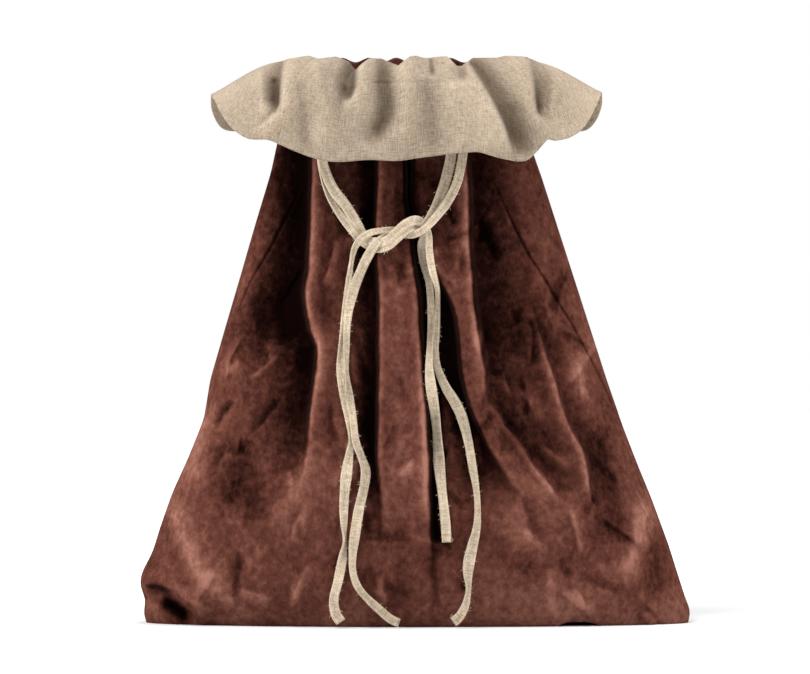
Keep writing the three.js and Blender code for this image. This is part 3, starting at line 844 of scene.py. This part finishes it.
def make_seams():
    made = []
    for node, inward in (("left_side_seam", 1), ("right_side_seam", -1)):
        low, high = (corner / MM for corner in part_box(node))
        foot, top = (low.x, high.x - SEAM_WIDTH) if inward > 0 else (high.x, low.x + SEAM_WIDTH)
        made.append(seam_allowance(node, (foot, 0, low.z), (top, 0, high.z), (inward * SEAM_WIDTH, 0, 0)))
    low, high = (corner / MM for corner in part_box("bottom_seam"))
    made.append(seam_allowance("bottom_seam", (low.x, 0, low.z), (high.x, 0, low.z), (0, 0, SEAM_WIDTH)))
    return made


seams = make_seams()
for word, side in (("front", -1), ("back", 1)):
    panel = velvet_panel(f"velvet_{word}", side, f"{word}_panel")
    facing = strip(f"facing_{word}", side, 482, 563, 5.5, 30, VELVET,
                   f"mouth_facing_{word}")
    channel = strip(f"channel_{word}", side, 494, 506, 3.2, 4, TAPE_LINEN,
                    f"channel_tape_{word}")

# ------------------------------------------------------------------ linen cuff
RIDGE_MIDDLE, RIDGE_HALF, RIDGE_DEPTH = -9.5, 121.5, 52.0
TOP_LINE = [
    (-131, 562), (-122, 564), (-107, 566.5), (-98, 563.5), (-80, 565.5), (-68, 561), (-60, 551), (-53, 558),
    (-46, 563.5), (-35, 563.5), (-26, 559.5), (-18, 556), (-12, 561), (-6, 565.5), (0, 566), (8, 563.5),
    (17, 564.5), (29, 565.5), (38, 556), (45, 556), (56, 564.5), (80, 564.5), (88, 566.5), (104, 566),
    (112, 562)]
HEM_FRONT = [
    (-206, 0, 529), (-202, -18, 523), (-194, -42, 508), (-183, -58, 494), (-167, -69, 484),
    (-147, -74, 482.5), (-137, -78, 478.5), (-121, -84, 471.5), (-97, -88, 463), (-76, -90, 460.5),
    (-48, -91, 462.5), (-20, -92, 461.5), (3, -92, 464.5), (26, -92, 467.5), (50, -91, 470), (63, -90, 470),
    (82, -88, 464.5), (100, -84, 461.5), (110, -80, 463), (119, -77, 471), (126, -74, 478.5),
    (131, -71, 483.5), (138, -69, 482), (154, -62, 486), (167, -50, 496), (178, -28, 514), (186, 0, 531)]
HEM_BACK = [
    (-206, 0, 529), (-206, 12, 516), (-201, 30, 502), (-193, 48, 495), (-177, 64, 493), (-146, 78, 486),
    (-116, 86, 474), (-80, 91, 464), (-40, 93, 461), (0, 94, 464), (40, 92, 461), (76, 88, 466),
    (106, 82, 476), (132, 74, 486), (157, 64, 493), (172, 50, 495), (181, 32, 504), (186, 12, 518),
    (186, 0, 531)]
CREASE_LEFT = [(-129, 562), (-131, 548), (-132, 533), (-133, 518), (-138, 506), (-148, 497), (-164, 487)]
CREASE_RIGHT = [(110, 562), (113, 543), (114, 523), (116, 510), (124, 497), (130, 485)]
LOBE_EDGE = [(48, 558), (58, 541), (66, 528), (75, 511), (83, 493), (89, 473), (91, 455)]
CUFF_FRONT_FOLDS = [
    (13, 3, 18, CREASE_LEFT),
    (-15, 15, 4, shifted(CREASE_LEFT, -5)[:5]),
    (7, 6, 5, [(-156, 548), (-152, 528), (-148, 511), (-142, 500)]),
    (-6, 5, 5, [(-141, 540), (-140, 520), (-142, 505)]),
    (13, 18, 3, CREASE_RIGHT),
    (-15, 4, 15, shifted(CREASE_RIGHT, 5)[:5]),
    (7, 5, 6, [(137, 548), (135, 528), (130, 513), (124, 502)]),
    (-14, 10, 5, [(-64, 562), (-63, 547), (-63, 535), (-67, 526), (-78, 521)]),
    (10, 3, 16, [(-53, 564), (-56, 547), (-57, 533), (-61, 522), (-74, 515)]),
    (-13, 11, 9, [(-34, 562), (-32, 533), (-28, 512), (-35, 494), (-50, 474)]),
    (9, 8, 10, [(-14, 564), (-11, 533), (-9, 503), (-8, 466)]),
    (-9, 3, 3, [(14, 568), (16, 552), (17, 543)]),
    (-12, 6, 6, [(42, 568), (43, 552), (45, 536)]),
    (13, 30, 3.5, LOBE_EDGE),
    (-14, 3.5, 18, shifted(LOBE_EDGE, 7)),
    (-6, 10, 10, [(98, 510), (103, 484), (108, 462)]),
    (-1.2, 1.2, 1.2, [(-44, 539), (0, 539.5), (42, 540)]),
    (5, 12, 12, [(-100, 552), (-92, 510), (-88, 458)]),
    (-5, 10, 10, [(-116, 530), (-108, 490), (-104, 462)]),
    (-4, 9, 9, [(12, 530), (16, 500), (18, 462)]),
    (5, 10, 10, [(36, 530), (44, 500), (50, 462)]),
]


def cuff_back_folds():
    numbers = np.random.default_rng(9)
    folds = []
    for at in np.linspace(-104, 86, 8):
        at = at + numbers.uniform(-5, 5)
        line = [(at, 568), (at * 1.08, 530), (at * 1.2 + numbers.uniform(-5, 5), 478)]
        left, right = (2.6, 14) if numbers.uniform() < 0.5 else (14, 2.6)
        folds.append((numbers.uniform(5, 9), left, right, line))
        folds.append((-numbers.uniform(5, 8), right, left, shifted(line, 5 if left > right else -5)))
    return folds


CUFF_BACK_FOLDS = cuff_back_folds()
CUFF_COLUMNS, CUFF_ROWS, INNER_ROWS, LIP_ROWS = 260, 64, 10, 12
BEND_Z, BEND_RUN = 551, 27  # where a lifted flap's bend would start and how many mm it would run; blend does not use them
HEM_CREASES = (-137, 120)  # x of the creases between the flaps and the wings, at the hem
WING_OVERLAP, WING_TUCK = 4, 1.6  # columns of a wing that lie behind the flap, and how many mm behind
CUFF_THICK = 1.5
LIP_OVERLAP = 8.0  # how far the lip comes down outside the velvet, so that no gap shows between them


def even_points(points, count):
    """Points along a smooth curve through the given ones, evenly spaced."""
    line = spline(points, 3)
    along = lengths_along(line)
    at = np.linspace(0, along[-1], count)
    return np.stack([np.interp(at, along, line[:, i]) for i in range(3)], axis=1)


def cuff_surface(side):
    turn = np.linspace(-np.pi / 2, np.pi / 2, CUFF_COLUMNS)
    out = np.stack([np.sin(turn), side * np.cos(turn), np.zeros_like(turn)], axis=1)
    x = RIDGE_MIDDLE + RIDGE_HALF * np.sin(turn)
    top_x, top_z = np.array(TOP_LINE, float).T
    back_z = 559 + 1.8 * np.sin(x / 9) + 1.2 * np.sin(x / 5 + 2)
    sides = smoothstep(0.9, 1.0, np.abs(np.sin(turn)))
    z = np.interp(x, top_x, top_z)
    if side > 0:
        z = back_z * (1 - sides) + z * sides
    ridge = np.stack([x, side * RIDGE_DEPTH * np.cos(turn), z], axis=1)
    hem = even_points(HEM_FRONT if side < 0 else HEM_BACK, CUFF_COLUMNS)
    reach = np.linalg.norm(hem - ridge, axis=1)[:, None]
    ahead = (np.cos(turn) ** 2)[:, None]
    near = ridge + out * reach * (0.24 + 0.1 * (1 - ahead))
    far = hem + np.array([0, 0, 1.0]) * reach * 0.4 * ahead + (ridge - hem) * 0.28 * (1 - ahead)
    t = np.linspace(0, 1, CUFF_ROWS)[:, None, None] ** 1.15
    shell = (1 - t) ** 3 * ridge + 3 * (1 - t) ** 2 * t * near + 3 * (1 - t) * t**2 * far + t**3 * hem
    t = np.linspace(0, 1, INNER_ROWS)[:, None, None]
    middle, half = middle_and_half(MOUTH_Z)
    mouth_x = middle + (half + 3) * np.sin(turn)
    mouth_y = side * (half_depth(MOUTH_Z) - SINK + 9) * np.cos(turn)
    mouth = np.stack([mouth_x, mouth_y, np.full_like(turn, MOUTH_Z - LIP_OVERLAP)], axis=1)
    lift = mouth + np.array([0, 0, 1.0]) * (ridge[:, 2:3] - MOUTH_Z)
    inner = (1 - t) ** 2 * mouth + 2 * (1 - t) * t * lift + t**2 * ridge
    folds = CUFF_FRONT_FOLDS if side < 0 else CUFF_BACK_FOLDS
    height = sum(stroke(shell[..., 0], shell[..., 2], *fold) for fold in folds)
    height += 0.9 * waves(shell[..., 0], shell[..., 2], 31 + side, 30)
    edge = np.clip(np.cos(turn) * 2.5, 0, 1)[None, :]
    shell[..., 1] += side * height * edge
    inner[..., 1] += side * (height * edge)[:1] * np.linspace(0, 1, INNER_ROWS)[:, None]
    # Painted light and shade on the linen: the folds' hollows darker and ridges lighter by their height, and
    # the wings and the front's right side painted lighter.
    painted_wing_light = np.where(side > 0, 0.4, np.where(turn > 0, 0.3, 0.18))
    painted_inside_light = painted_wing_light * smoothstep(0.75, 0.95, np.abs(np.sin(turn)))
    if side < 0:
        painted_inside_light = painted_inside_light + 0.1 * smoothstep(0.35, 0.75, np.sin(turn))
    return inner, shell, 0.5 + 0.034 * height * edge + painted_inside_light


def cuff_part(name, points, shade, columns, side):
    part = points[:, columns]
    rows, count = part.shape[:2]
    down = lengths_along(points[:, CUFF_COLUMNS // 2])
    over = lengths_along(points[-1])[columns]
    uvs = np.stack(np.meshgrid(over, down), axis=-1).reshape(-1, 2) * MM
    piece = mesh_object(name, part.reshape(-1, 3), grid_faces(rows, count, flip=side < 0), uvs)
    lay_painted_shade(piece, shade[:, columns])
    thicken(piece, CUFF_THICK, 0)
    return dress(piece, LINEN)


def make_cuff(word, side):
    inner, points, shade = cuff_surface(side)
    # the lip goes on over the ridge, under the flap, so that a lifted flap shows cloth behind it
    turned = points[1:LIP_ROWS] - np.array([0, side * 1.8, 1.3])
    lip_points = np.concatenate([inner, turned])
    lip_shade = np.concatenate([np.full(inner.shape[:2], 0.5), shade[1:LIP_ROWS]])
    lip = cuff_part(f"cuff_{word}_lip", lip_points, lip_shade, slice(0, CUFF_COLUMNS), side)
    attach(lip, "sack_body")
    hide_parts(f"cuff_{word}")
    hem_x = points[-1, :, 0]
    left, right = (np.argmin(abs(hem_x - crease_x)) for crease_x in HEM_CREASES)
    flap = f"{word}_flap"
    lift = 1 / BEND_RUN
    middle = cuff_part(f"cuff_{word}_flap", points, shade, slice(left, right + 1), side)
    blend(middle, flap, (0, 0, BEND_Z), (0, 0, -lift))
    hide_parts(f"cuff_{word}")
    past_left, past_right = left + 1 + WING_OVERLAP, right - WING_OVERLAP
    for wing, sign, columns, tucked, edge in (
            ("left", 1, slice(0, past_left), slice(left + 1, past_left), left),
            ("right", -1, slice(past_right, CUFF_COLUMNS), slice(past_right, right), right)):
        under = points.copy()
        under[:, tucked, 1] -= side * WING_TUCK
        piece = cuff_part(f"cuff_{word}_{wing}_wing", under, shade, columns, side)
        crease = points[:, edge]
        lean = np.polyfit(crease[:, 2], crease[:, 0], 1)
        slope = sign * 0.045
        at = np.polyval(lean, BEND_Z)
        blend(piece, flap, (at, 0, BEND_Z), (slope, 0, -lift - slope * lean[0]))
        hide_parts(f"cuff_{wing}_wing")


make_cuff("front", -1)
make_cuff("back", 1)

# ------------------------------------------------------------------ buttonholes
HOLE_STITCHES, HOLE_HALF_WIDTH, HOLE_HALF_HEIGHT = 30, 9.5, 6.5


def make_buttonhole(name, x):
    """A ring of stitches on the velvet. Both rings are 8 to 9 mm nearer the middle than the CAD's holes."""
    starts, ends = [], []
    for i in range(HOLE_STITCHES):
        angle = 2 * math.pi * i / HOLE_STITCHES
        for share, line in ((0.72, starts), (1.12, ends)):
            at_x = x + HOLE_HALF_WIDTH * share * math.cos(angle)
            at_z = NECK_Z + HOLE_HALF_HEIGHT * share * math.sin(angle)
            line.append((at_x, body_y(np.array(at_x), np.array(at_z), -1) - 0.6, at_z))
    piece = capsule_row(name, starts, ends, 0.7)
    dress(piece, STITCH, "sack_body")
    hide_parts(name.replace("stitched_", ""))


make_buttonhole("stitched_buttonhole_left", -77)
make_buttonhole("stitched_buttonhole_right", 36)


# ------------------------------------------------------------------ floor, lights, view
FLOOR_RADIUS, FLOOR_SIDES = 9000, 64


def make_stage():
    angles = np.linspace(0, 2 * math.pi, FLOOR_SIDES, endpoint=False)
    around = [(FLOOR_RADIUS * math.cos(a), FLOOR_RADIUS * math.sin(a), 0) for a in angles]
    floor = mesh_object("floor", around, [tuple(range(FLOOR_SIDES))])
    n = Nodes("pale_floor")
    away = n.add("ShaderNodeVectorMath", {0: n.place()}, operation="LENGTH").outputs["Value"]
    glow = n.add("ShaderNodeMapRange", {0: away, 1: 0.35, 2: 1.2, 3: 0.0, 4: 0.9}).outputs[0]
    pale = n.surface(Base_Color=(0.84, 0.84, 0.85, 1), Roughness=0.9, Specular_IOR_Level=0.1,
                     Emission_Color=(1, 1, 1, 1), Emission_Strength=glow)
    floor.data.materials.append(pale)


LIT_POINT = (0, 0, 0.3)


def make_light(name, where, size, power):
    data = bpy.data.lights.new(name, "AREA")
    data.shape, data.size, data.energy = "DISK", size, power
    light = bpy.data.objects.new(name, data)
    light.location = where
    light.rotation_euler = (Vector(LIT_POINT) - Vector(where)).to_track_quat("-Z", "Y").to_euler()
    bpy.context.scene.collection.objects.link(light)


def make_light_rig():
    make_light("key", (-0.6, -1.0, 2.2), 0.5, 28)
    make_light("left_box", (-1.7, -0.6, 0.9), 1.0, 24)
    make_light("right_box", (1.7, -0.6, 0.9), 1.0, 21)
    make_light("top", (0.1, 0.2, 2.2), 1.0, 24)
    world = bpy.data.worlds.new("studio")
    world.use_nodes = True
    tree = world.node_tree
    tree.nodes["Background"].inputs["Color"].default_value = (1, 1, 1, 1)
    seen = tree.nodes.new("ShaderNodeLightPath").outputs["Is Camera Ray"]
    strength = tree.nodes.new("ShaderNodeMapRange")
    strength.inputs["To Min"].default_value = 0.3
    tree.links.new(seen, strength.inputs["Value"])
    tree.links.new(strength.outputs[0], tree.nodes["Background"].inputs["Strength"])
    bpy.context.scene.world = world
    bpy.context.scene.view_settings.view_transform = "Standard"


make_stage()
make_light_rig()
